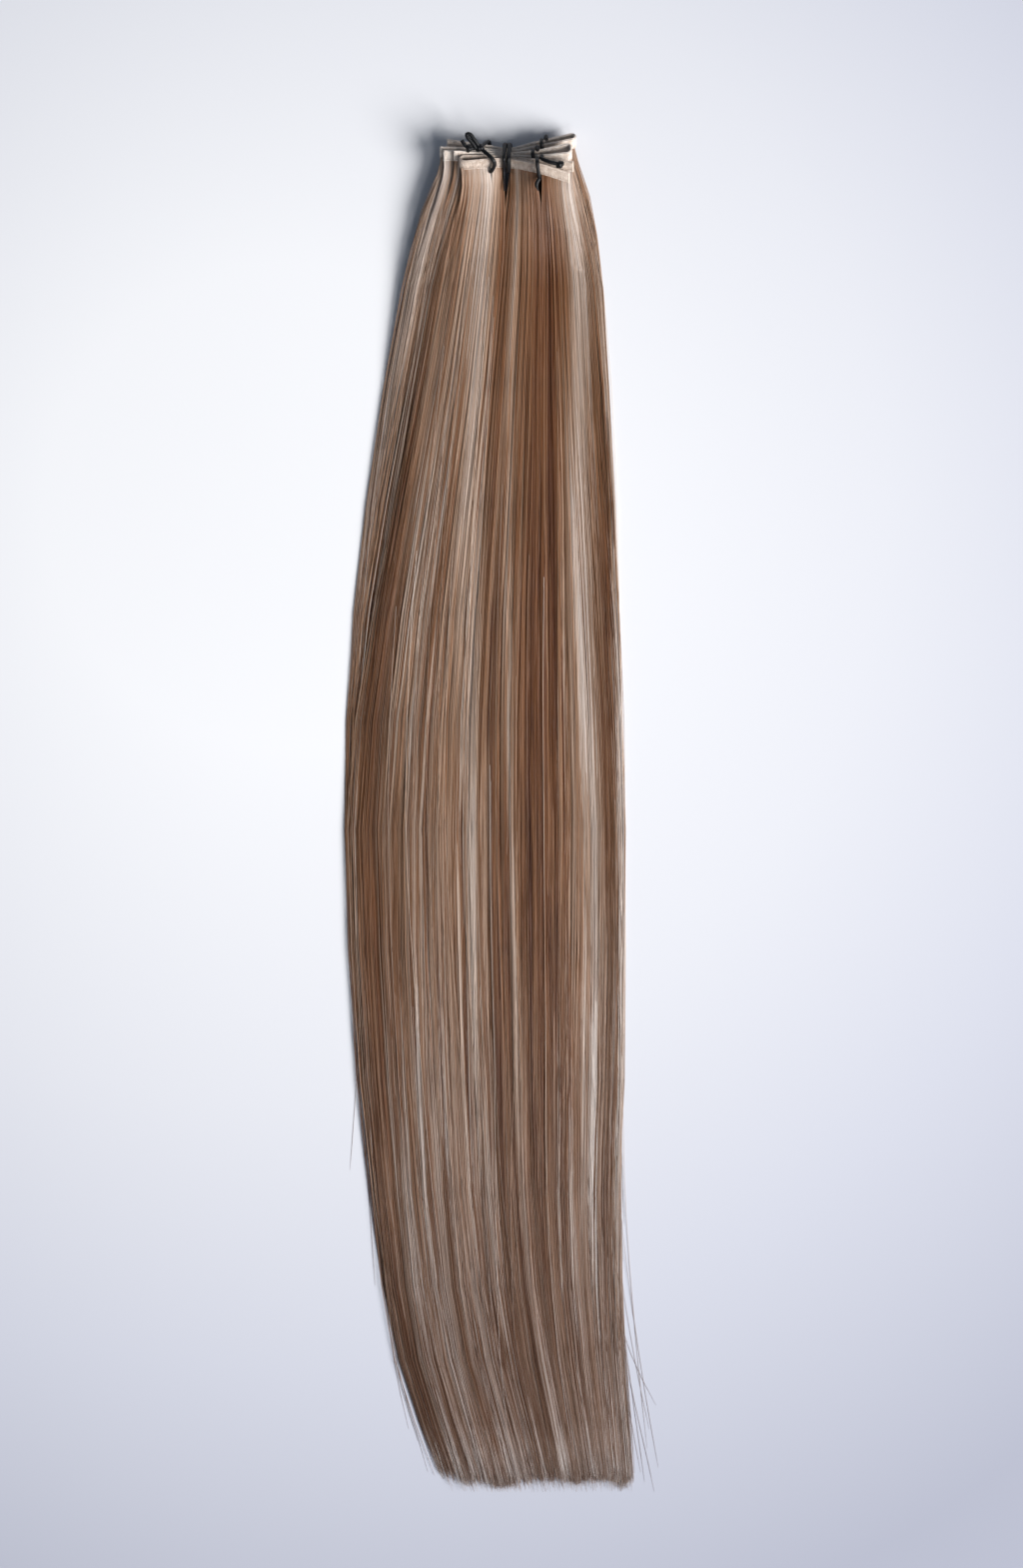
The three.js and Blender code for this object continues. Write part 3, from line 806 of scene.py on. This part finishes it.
def smooth_path(points):
    """Close points on a centripetal curve through the given ones."""
    points = np.array(points)
    points = np.concatenate([[2 * points[0] - points[1]], points, [2 * points[-1] - points[-2]]])
    made = []
    for p0, p1, p2, p3 in zip(points, points[1:], points[2:], points[3:]):
        t1 = np.linalg.norm(p1 - p0) ** 0.5
        t2 = t1 + np.linalg.norm(p2 - p1) ** 0.5
        t3 = t2 + np.linalg.norm(p3 - p2) ** 0.5
        count = max(2, math.ceil(np.linalg.norm(p2 - p1) / CORD_STEP))
        t = np.linspace(t1, t2, count, endpoint=False)[:, None]
        a1 = p0 * (t1 - t) / t1 + p1 * t / t1
        a2 = p1 * (t2 - t) / (t2 - t1) + p2 * (t - t1) / (t2 - t1)
        a3 = p2 * (t3 - t) / (t3 - t2) + p3 * (t - t2) / (t3 - t2)
        b1 = a1 * (t2 - t) / t2 + a2 * t / t2
        b2 = a2 * (t3 - t) / (t3 - t1) + a3 * (t - t1) / (t3 - t1)
        made.append(b1 * (t2 - t) / (t2 - t1) + b2 * (t - t1) / (t2 - t1))
    made.append(points[-2:-1])
    return np.concatenate(made)


def cord(points, number, thin_end, full):
    """A slightly flattened cord through the given points, thin at its first one where that is a tail."""
    path = smooth_path(points)
    across, upward = ways_across(path)
    count = len(path)
    wide = np.full(count, CORD_DIAMETER / 2 * full)
    deep = np.full(count, CORD_DIAMETER / 2 * CORD_FLAT)
    if thin_end:
        taper = mix(TAIL_THIN, 1, smooth(np.arange(count) / (TAIL_SHARE * count)))
        wide, deep = wide * taper, deep * taper
    own_strip = (CORD_STRIP * STRIP_FILLED, 1 / lengths_along(path)[-1], number * CORD_STRIP)
    maps = {"braid": (1, 1, 0), "OFBake": own_strip}
    return sweep(path, across, upward, wide, deep, CORD_SIDES, maps), 0


def knot_turns(spot, axis, turns=2.2, radius=0.95, pitch=1.0):
    """A few tight turns of cord round an axis."""
    axis = unit(np.array(axis, float))
    side = unit(np.cross(axis, [0.3, 0.2, 1.0]))
    other = np.cross(axis, side)
    angle = np.linspace(0, turns * math.tau, math.ceil(turns * 8))
    climb = (angle / math.tau - turns / 2) * pitch
    return list(
        spot + side * np.cos(angle)[:, None] * radius + other * np.sin(angle)[:, None] * radius
        + axis * climb[:, None]
    )


def make_tie(name, cords, full=CORD_FULL):
    meshes = [cord(points, i, thin_end, full) for i, (points, thin_end) in enumerate(cords)]
    settle(join(f"{name}_cord", meshes, [cord_finish]), name)


def plain_loop(rear, front, x):
    front_low, front_high, rear_high, rear_low = hug(rear, front, x)
    opened = (CORD_DIAMETER + CORD_SIDE_GAP) / 2
    middle = mix(front_high, rear_high, 0.5)
    return rounded([
        moved(middle, -opened, 0, 0),
        moved(front_high, -opened, 0, 0),
        front_low,
        rear_low,
        moved(rear_high, opened, 0, 0),
        moved(middle, opened, 0, 0),
    ])


def make_centre_tie():
    rear, front = RUNS["back"][0], RUNS["front"][1]
    half = (CORD_DIAMETER + CORD_SIDE_GAP) / 2
    low_1, high_1, over_1, _ = hug(rear, front, CENTRE_TIE - half)
    low_2, high_2, over_2, under_2 = hug(rear, front, CENTRE_TIE + half)
    path = rounded([
        moved(low_1, 0.2, 7.6, 0.6),
        low_1,
        high_1,
        moved(over_1, half / 2, 0, 0),
        moved(under_2, -half / 2, 0, 0),
        low_2,
        high_2,
        moved(over_2, half / 2, 0, 0),
        moved(mix(over_2, under_2, 0.6), half, 0, 0),
    ])
    make_tie("centre_tie", [(path, True)], full=CENTRE_CORD_FULL)


def make_left_tie():
    front_low, front_high, rear_high, rear_low = hug(RUNS["back"][0], RUNS["front"][1], LEFT_TIE)
    tied = moved(rear_high, -4.4, 3.3, 7.4)
    second = moved(tied, -4.6, 0.2, 0.6)
    loop = rounded([
        tied,
        moved(front_high, 1, 0, 0),
        moved(front_high, 1.9, 2.4, -2),
        front_low,
        rear_low,
        moved(rear_high, -0.6, 0, 0),
        tied,
    ])
    looped = [
        moved(tied, -1.6, 0.2, 0.7),
        moved(tied, -3.7, -2.6, 1.4),
        moved(tied, -5.2, -4.4, 1.8),
        moved(tied, -5.3, -5.6, 1.8),
        moved(tied, -4.1, -5.5, 1.8),
        moved(tied, -2.1, -3, 1.4),
        moved(tied, -0.2, -0.2, 0.5),
    ]
    cut = [second, moved(second, -1.6, -1.2, 0.3), moved(second, -2.9, -3.3, 0.3)]
    make_tie("left_tie", [
        (loop, False),
        ([tied, mix(tied, second, 0.5), second], False),
        (looped, False),
        (cut, False),
        (knot_turns(tied, (1, 0.1, 0.1)), False),
        (knot_turns(second, (1, 0.4, 0.2), turns=1.6), False),
    ])


def make_front_tie():
    rear, front = RUNS["front"]
    front_low, front_high, rear_high, _ = hug(rear, front, OWN_TIE["front"])
    middle = mix(front_high, rear_high, 0.5)
    tied = moved(middle, 8.6, 2.5, 1.6)
    tail = [moved(front_low, -0.6, 5, -1.2), moved(front_low, -1.2, 2.4, -0.2), front_low]
    end = [moved(middle, 0.9, 0, 0.2), moved(middle, 4.2, 1.4, 1.6), tied]
    make_tie("front_tie", [
        (plain_loop(rear, front, OWN_TIE["front"]), False),
        (tail, True),
        (end, False),
        (knot_turns(tied, (1, -0.2, 0.1), turns=1.8), False),
    ])


make_centre_tie()
make_left_tie()
make_front_tie()
for weft in ("back", "middle"):
    make_tie(f"{weft}_tie", [(plain_loop(*RUNS[weft], OWN_TIE[weft]), False)])


# Hair

def strand_mesh(name, paths, radii, tones, ashy):
    """Strands with a rounded upper side along paths, with a map of lightness, warmth and station."""
    count, stations, _ = paths.shape
    along = unit(np.gradient(paths, axis=1))
    across = unit(np.cross(along, [0, 0, 1.0]))
    upward = np.cross(across, along)
    turn = rng.uniform(-UPPER_TURN, UPPER_TURN, count)[:, None, None] + np.radians(UPPER_SIDE)
    ring = np.cos(turn)[..., None] * across[:, :, None] + np.sin(turn)[..., None] * upward[:, :, None]
    points = paths[:, :, None] + ring * radii[:, :, None, None]
    points[..., 2] = np.maximum(points[..., 2], TABLE_CLEARANCE)
    corner = np.arange(count * stations * 3).reshape(count, stations, 3)
    u = np.clip(tones, 0, 1 - TONE_WIDTH)[:, :, None] + TONE_WIDTH * np.arange(3) / 2
    v = np.linspace(MAP_MARGIN, 0.5 - MAP_MARGIN, stations) + 0.5 * ashy[:, None]
    spot = np.stack([u, np.broadcast_to(v[:, :, None], u.shape)], -1)

    def round_quads(values):
        return np.stack([values[:, :-1, :-1], values[:, 1:, :-1], values[:, 1:, 1:], values[:, :-1, 1:]], 3)

    quads = round_quads(corner).reshape(-1, 4)
    mesh = bpy.data.meshes.new(name)
    mesh.vertices.add(count * stations * 3)
    mesh.vertices.foreach_set("co", (points * MM).astype(np.float32).ravel())
    mesh.loops.add(quads.size)
    mesh.loops.foreach_set("vertex_index", quads.ravel().astype(np.int32))
    mesh.polygons.add(len(quads))
    mesh.polygons.foreach_set("loop_start", (np.arange(len(quads)) * 4).astype(np.int32))
    mesh.update(calc_edges=True)
    layer = mesh.uv_layers.new(name="OFBake")
    layer.uv.foreach_set("vector", round_quads(spot).astype(np.float32).ravel())
    mesh.shade_smooth()
    mesh.materials.append(hair_finish)
    return show(name, mesh)


def ripple(share, cells):
    """Smooth random values between 0 and 1 across the hair."""
    values = rng.random(cells + 2)
    at = np.clip(share, 0, 1) * cells
    cell = np.floor(at).astype(int)
    return mix(values[cell], values[cell + 1], smooth(at - cell))


def part_at_ties(x, reach, own_tie):
    """Strands pushed aside where a tie's cord passes between them, closing again further down."""
    made = x[:, None] + np.zeros_like(reach)
    partings = ((LEFT_TIE, LEFT_PARTING), (CENTRE_TIE, CENTRE_PARTING), (own_tie, OWN_PARTING))
    for tie, (gap, length) in partings:
        away = (x - tie)[:, None]
        made += np.sign(away) * gap * bell(away, 0, PARTING_REACH) * (1 - smooth(reach / length))
    return made


def dome(share, along):
    """Height of the hair's face across its width, as a share of its thickness at the middle."""
    from_middle = np.abs(2 * np.clip(share, 0, 1) - 1)
    return 1 - mix(*EDGE_FALL, smooth(along / EDGE_FALL_LENGTH)) * from_middle ** EDGE_FALL_CURVE


def find_locks(spot):
    """Each strand's lock, and its place from the lock's middle as a share of the lock's width."""
    lock = np.clip(np.searchsorted(lock_ends, spot) - 1, 0, LOCKS - 1)
    return lock, (spot - lock_middle[lock]) / (lock_ends[lock + 1] - lock_ends[lock])


def find_tufts(share):
    """Each strand's tuft, and the values that a tuft's strands have in common."""
    count = len(share)
    tufts = count // STRANDS_IN_TUFT
    tuft = np.floor(share * tufts + rng.uniform(-TUFT_MIXING, TUFT_MIXING, count))
    tuft = np.clip(tuft, 0, tufts - 1).astype(int)
    shift, tint = rng.normal(0, 1, (2, tufts))[:, tuft]
    level, pick, ash, phase = rng.random((4, tufts))[:, tuft]
    return {
        "number": tuft, "total": tufts, "middle": (tuft + 0.5) / tufts, "shift": shift, "tint": tint,
        "level": level, "pick": pick, "ash": ash, "phase": (phase * math.tau)[:, None],
    }


def strand_ends(share, lock, tuft):
    """How far along each strand ends, near an uneven cut."""
    count = len(share)
    trim = read_table(CUT, share)[0] - CUT_PAST + lock_cut[lock]
    trim = trim + TUFT_UNEVEN * rng.random(tuft["total"])[tuft["number"]]
    trim = trim + rng.exponential(STRAND_UNEVEN, count)
    trim = np.where(rng.random(count) < BROKEN_SHARE, trim + rng.uniform(*BROKEN_BY, count), trim)
    trim = np.where(rng.random(count) < LONG_SHARE, trim - rng.uniform(*LONG_BY, count), trim)
    return np.maximum(HAIR_LENGTH - np.clip(trim, *TRIM_RANGE), EARLIEST_END)


def places_across(spreads, share, lock, tuft, along, reach):
    """Each strand's place across the hair at its stations, as a share of the hair's width."""
    head, low = spreads
    drift = (TUFT_DRIFT * tuft["shift"] + rng.normal(0, STRAND_DRIFT, len(share)))[:, None]
    drift = drift * grown(along, *DRIFT_GROWS) * (1 + grown(along, *DRIFT_WIDENS))
    to_lock = (lock_middle[lock] - mix(*low, share)) * lock_hold[lock]
    drift = drift + to_lock[:, None] * build_up(LOCK_HOLDS, along)
    drift = drift + lock_shift[lock][:, None] * grown(along, *DRIFT_GROWS)
    outward = np.where(share < 0.5, -1, 1) * near_edge(share)
    feather = (outward * rng.random(len(share)) ** 2)[:, None] * FEATHER * smooth(reach / FEATHER_LENGTH)
    across = mix(share[:, None], tuft["middle"][:, None], build_up(TUFT_GATHERS, along)) + drift + feather
    lowered = grown(along, *HEAD_TO_LOW)
    width_share = mix(mix(head[0], low[0], lowered), mix(head[1], low[1], lowered), across)
    width_share = np.clip(width_share, -OVERHANG, 1 + OVERHANG)
    swept = grown(along, *SWEEP_GROWS) * np.sin(math.pi * np.clip(width_share, 0, 1))
    return width_share + TIP_SWEEP * swept


def streak_tone(share, along):
    """Lightness by place across and down the hair."""
    tone = np.full(share.shape, PLAIN_TONE)
    for *middles, half_width, at_head, halfway, at_tips in STREAKS:
        middle = np.interp(along, STREAK_PLACES, middles)
        lighter = np.interp(along, STREAK_TONES, [at_head, halfway, halfway, at_tips])
        tone += lighter * bell(share, middle, half_width)
    return tone


def strand_tones(share, width_share, along, tuft):
    """Each strand's lightness at its stations, and whether it is ash rather than warm."""
    tone = streak_tone(width_share, along)
    likely = tone[:, PICK_STATION]
    picked = np.where(tuft["pick"] < likely, LIGHT_PICK, DARK_PICK)
    tint_and_painted_shade = TUFT_TINT * tuft["tint"] + ACROSS_TINT * (ripple(share, TINT_CELLS) - 0.5)
    tint_and_painted_shade = tint_and_painted_shade + rng.normal(0, STRAND_TINT, len(share))
    # Sunken tufts are painted darker: painted shade in the gaps between the upper tufts
    tint_and_painted_shade = tint_and_painted_shade - SUNKEN_PAINTED_SHADE * (tuft["level"] < SUNKEN_SHARE) + (picked - likely) * PICK_SHARE
    tone = tone + tint_and_painted_shade[:, None] * (OWN_TONE_AT_HEAD + build_up(OWN_TONE_GROWS, along))
    # The strands' very ends are lighter: they are thin and wispy, and the lightening is also painted light
    # against the shade they fall into
    tone[:, -1] += TIP_LIGHTER
    chance = PLAIN_ASH + ACROSS_ASH * ripple(share, ASH_CELLS)
    for middle, half_width, more in ASH_STRIPS:
        chance = chance + more * bell(width_share[:, WARMTH_STATION], middle, half_width)
    return tone, tuft["ash"] < chance


def strand_paths(weft, which, count, deep, shallow):
    """Paths of a layer's strands from their roots in a band to the tips, with their lightness and warmth."""
    rows = RUNS[weft][which]
    head, low = SPREAD[weft][which], SPREAD[weft][2]
    share = (np.arange(count) + rng.random(count)) / count
    lock, off_middle = find_locks(mix(*low, share))
    tuft = find_tufts(share)

    ends = [rows[0][0] + ROOT_INSET, rows[-1][0] - ROOT_INSET]
    ends[0 if FOLD_SIDE[weft] < 0 else 1] += FOLD_SIDE[weft] * FOLD_BULGE[weft]
    closed = mix(*ends, share)
    parted = part_at_ties(closed, np.zeros((count, 1)), OWN_TIE[weft])[:, 0]
    lower, up, out = run_at(rows, np.clip(parted, *ends))
    depth = rng.random(count)
    root = lower + out * ((depth - 0.5) * ROOT_DEPTH)[:, None]
    root_along = (HAIR_LENGTH / 2 - lower[:, 1])[:, None]

    near = root_along + np.array(REACHES)
    far = np.broadcast_to(np.array(STATIONS, float), (count, len(STATIONS)))
    along = np.concatenate([near, far, strand_ends(share, lock, tuft)[:, None]], 1)
    reach = along - root_along
    width_share = places_across((head, low), share, lock, tuft, along, reach)

    left, right, thick = read_table(OUTLINE, along)
    swing = (ripple(share, SWING_CELLS) * math.tau)[:, None]
    stray = rng.uniform(0, math.tau, count)[:, None]
    sway = wave(HAIR_SWING, along, swing) + wave(STRAND_SWING, along, stray)
    sway += wave(TUFT_SWING, along, tuft["phase"]) * grown(along, *TUFT_SWING_GROWS)
    body_x = mix(left + EDGE_INSET, right - EDGE_INSET, width_share) + sway * smooth(reach / SWING_LENGTH)

    layer = mix(deep, shallow, mix(depth, tuft["level"], TUFT_DEPTH))
    layer = np.maximum(layer - EDGE_DROP * near_edge(share), 0)
    body_z = STRAND_RADIUS + (thick * dome(width_share, along) - 2 * STRAND_RADIUS) * layer[:, None]
    body_z += wave(TUFT_RISE, along, tuft["phase"]) + wave(TUFT_SLOW_RISE, along, 2 * tuft["phase"])
    body_z += wave(STRAND_RISE, along, stray)
    body_z -= (LOCK_GROOVE * off_middle ** 2 * lock_hold[lock])[:, None] * smooth(along / GROOVE_LENGTH)
    leftmost = np.exp(-((np.maximum(width_share, 0) / LEFT_RAISE_WIDTH) ** LEFT_RAISE_CURVE))
    body_z += LEFT_RAISE * leftmost * (1 - smooth(along / LEFT_RAISE_LENGTH))

    lifted = (1 - np.clip(reach / SETTLE_LENGTH, 0, 1)) ** SETTLE_CURVE
    fanned = 1 - (1 - np.clip(reach / FAN_LENGTH, 0, 1)) ** 2
    x = mix(closed[:, None], body_x, fanned)
    x = x + part_at_ties(closed, reach, OWN_TIE[weft]) - closed[:, None]
    y = HAIR_LENGTH / 2 - along + (root[:, 1] - lower[:, 1])[:, None] * lifted
    z = mix(body_z, root[:, None, 2], lifted)
    paths = np.stack([x, y, np.maximum(z, STRAND_RADIUS)], -1)
    paths[:, 0] = root - up * REACHES[0]
    return paths, *strand_tones(share, width_share, along, tuft)


def make_hair(name, weft, which, count, deep, shallow):
    paths, tone, ashy = strand_paths(weft, which, count, deep, shallow)
    taper = np.linspace(1, LOW_TAPER, paths.shape[1])
    taper[-1] = TIP_TAPER
    radii = STRAND_RADIUS * rng.uniform(*RADIUS_RANGE, count)[:, None] * taper
    settle(strand_mesh(name, paths, radii, tone, ashy), f"{weft}_weft_hair")


for layer_name, layer_values in LAYERS.items():
    make_hair(layer_name, *layer_values)


def make_flyaways():
    """Loose strands that leave the hair's two edges, and a few that lie across its face."""
    side, leave, end, reach = np.array(FLYAWAYS, float).T

    def with_strays(values, limits):
        return np.concatenate([values, rng.uniform(*limits, FACE_STRAYS)])[:, None]

    leave = with_strays(leave, STRAY_LEAVE)
    end = with_strays(end, STRAY_END)
    reach = with_strays(reach, STRAY_REACH)
    share = with_strays((side + 1) / 2, STRAY_SHARE)
    side = np.concatenate([side, np.zeros(FACE_STRAYS)])[:, None]
    count = len(side)
    along = mix(np.maximum(leave - LOOSE_ROOT, LOOSE_START), end, np.linspace(0, 1, LOOSE_STATIONS))
    left, right, thick = read_table(OUTLINE, along)
    gone = np.clip((along - leave) / (end - leave), 0, 1)
    bow = np.sin(gone * math.pi) * rng.uniform(*LOOSE_BOW, count)[:, None]
    x = mix(left + EDGE_INSET, right - EDGE_INSET, share) - side * LOOSE_INSET
    x += np.where(side == 0, 1, side) * reach * (gone ** LOOSE_CURVE + bow)
    on_face = thick * dome((x - left) / (right - left), along) + LOOSE_ON_FACE
    at_edge = mix(LOOSE_AT_EDGE, STRAND_RADIUS, smooth(gone * LOOSE_DROP_RATE))
    z = np.where(side == 0, on_face, at_edge) + wave(LOOSE_RISE, along, 0)
    paths = np.stack([x, HAIR_LENGTH / 2 - along, np.maximum(z, STRAND_RADIUS)], -1)
    radii = np.full(along.shape, STRAND_RADIUS * LOOSE_THICK)
    radii[:, -1] *= LOOSE_TIP
    tone = rng.uniform(*LOOSE_TONE, count)[:, None] + np.where(side == 0, FACE_LIGHTER, 0)
    tone = np.broadcast_to(tone, along.shape)
    ashy = rng.random(count) < 0.5
    settle(strand_mesh("front_flyaway_strands", paths, radii, tone, ashy), "front_weft_hair")


make_flyaways()


# Table, lights and camera

def make_table():
    bm = bmesh.new()
    bmesh.ops.create_grid(bm, x_segments=1, y_segments=1, size=TABLE_HALF)
    mesh = bpy.data.meshes.new("table_top")
    bm.to_mesh(mesh)
    bm.free()
    made, tree, shader = new_material("pale_table", Roughness=0.6, Specular_IOR_Level=0.2)
    # The table is painted as a pool of light, darker further from its middle: painted light and shade on an
    # even floor
    coords = add(tree, "ShaderNodeTexCoord")
    away = add(tree, "ShaderNodeVectorMath", operation="DISTANCE")
    away.inputs[1].default_value = PAINTED_POOL_MIDDLE
    tree.links.new(coords.outputs["Object"], away.inputs[0])
    painted_falloff = ramp(tree, TABLE_PAINTED_FALLOFF)
    tree.links.new(away.outputs["Value"], painted_falloff.inputs[0])
    tree.links.new(painted_falloff.outputs[0], shader.inputs["Base Color"])
    mesh.materials.append(made)
    table = show("table_top", mesh)


def add_light(name, spot, size, power):
    light = bpy.data.lights.new(name, "AREA")
    light.shape = "DISK"
    light.size = size
    light.energy = power
    light.color = LIGHT_COLOUR
    lamp = show(name, light)
    lamp.location = spot
    lamp.rotation_euler = (-Vector(spot)).to_track_quat("-Z", "Y").to_euler()


def light_room():
    world = bpy.data.worlds.new("room_light")
    world.use_nodes = True
    background = world.node_tree.nodes["Background"].inputs
    background["Color"].default_value = ROOM_COLOUR
    background["Strength"].default_value = ROOM_STRENGTH
    bpy.context.scene.world = world
    bpy.context.scene.view_settings.view_transform = "Standard"


def place_camera():
    """Straight above the middle of the photo, which it frames."""
    camera = bpy.data.cameras.new("table_camera")
    camera.sensor_width = SENSOR_MM
    camera.lens = SENSOR_MM * CAMERA_HEIGHT / (PHOTO_TALL * PHOTO_MM * MM)
    viewer = show("table_camera", camera)
    middle = (PHOTO_RIGHT * PHOTO_MM * MM, (HAIR_LENGTH / 2 - PHOTO_ALONG * PHOTO_MM) * MM)
    viewer.location = (*middle, CAMERA_HEIGHT)
    bpy.context.scene.camera = viewer


make_table()
for light_name, light_values in LIGHTS.items():
    add_light(light_name, *light_values)
light_room()
place_camera()
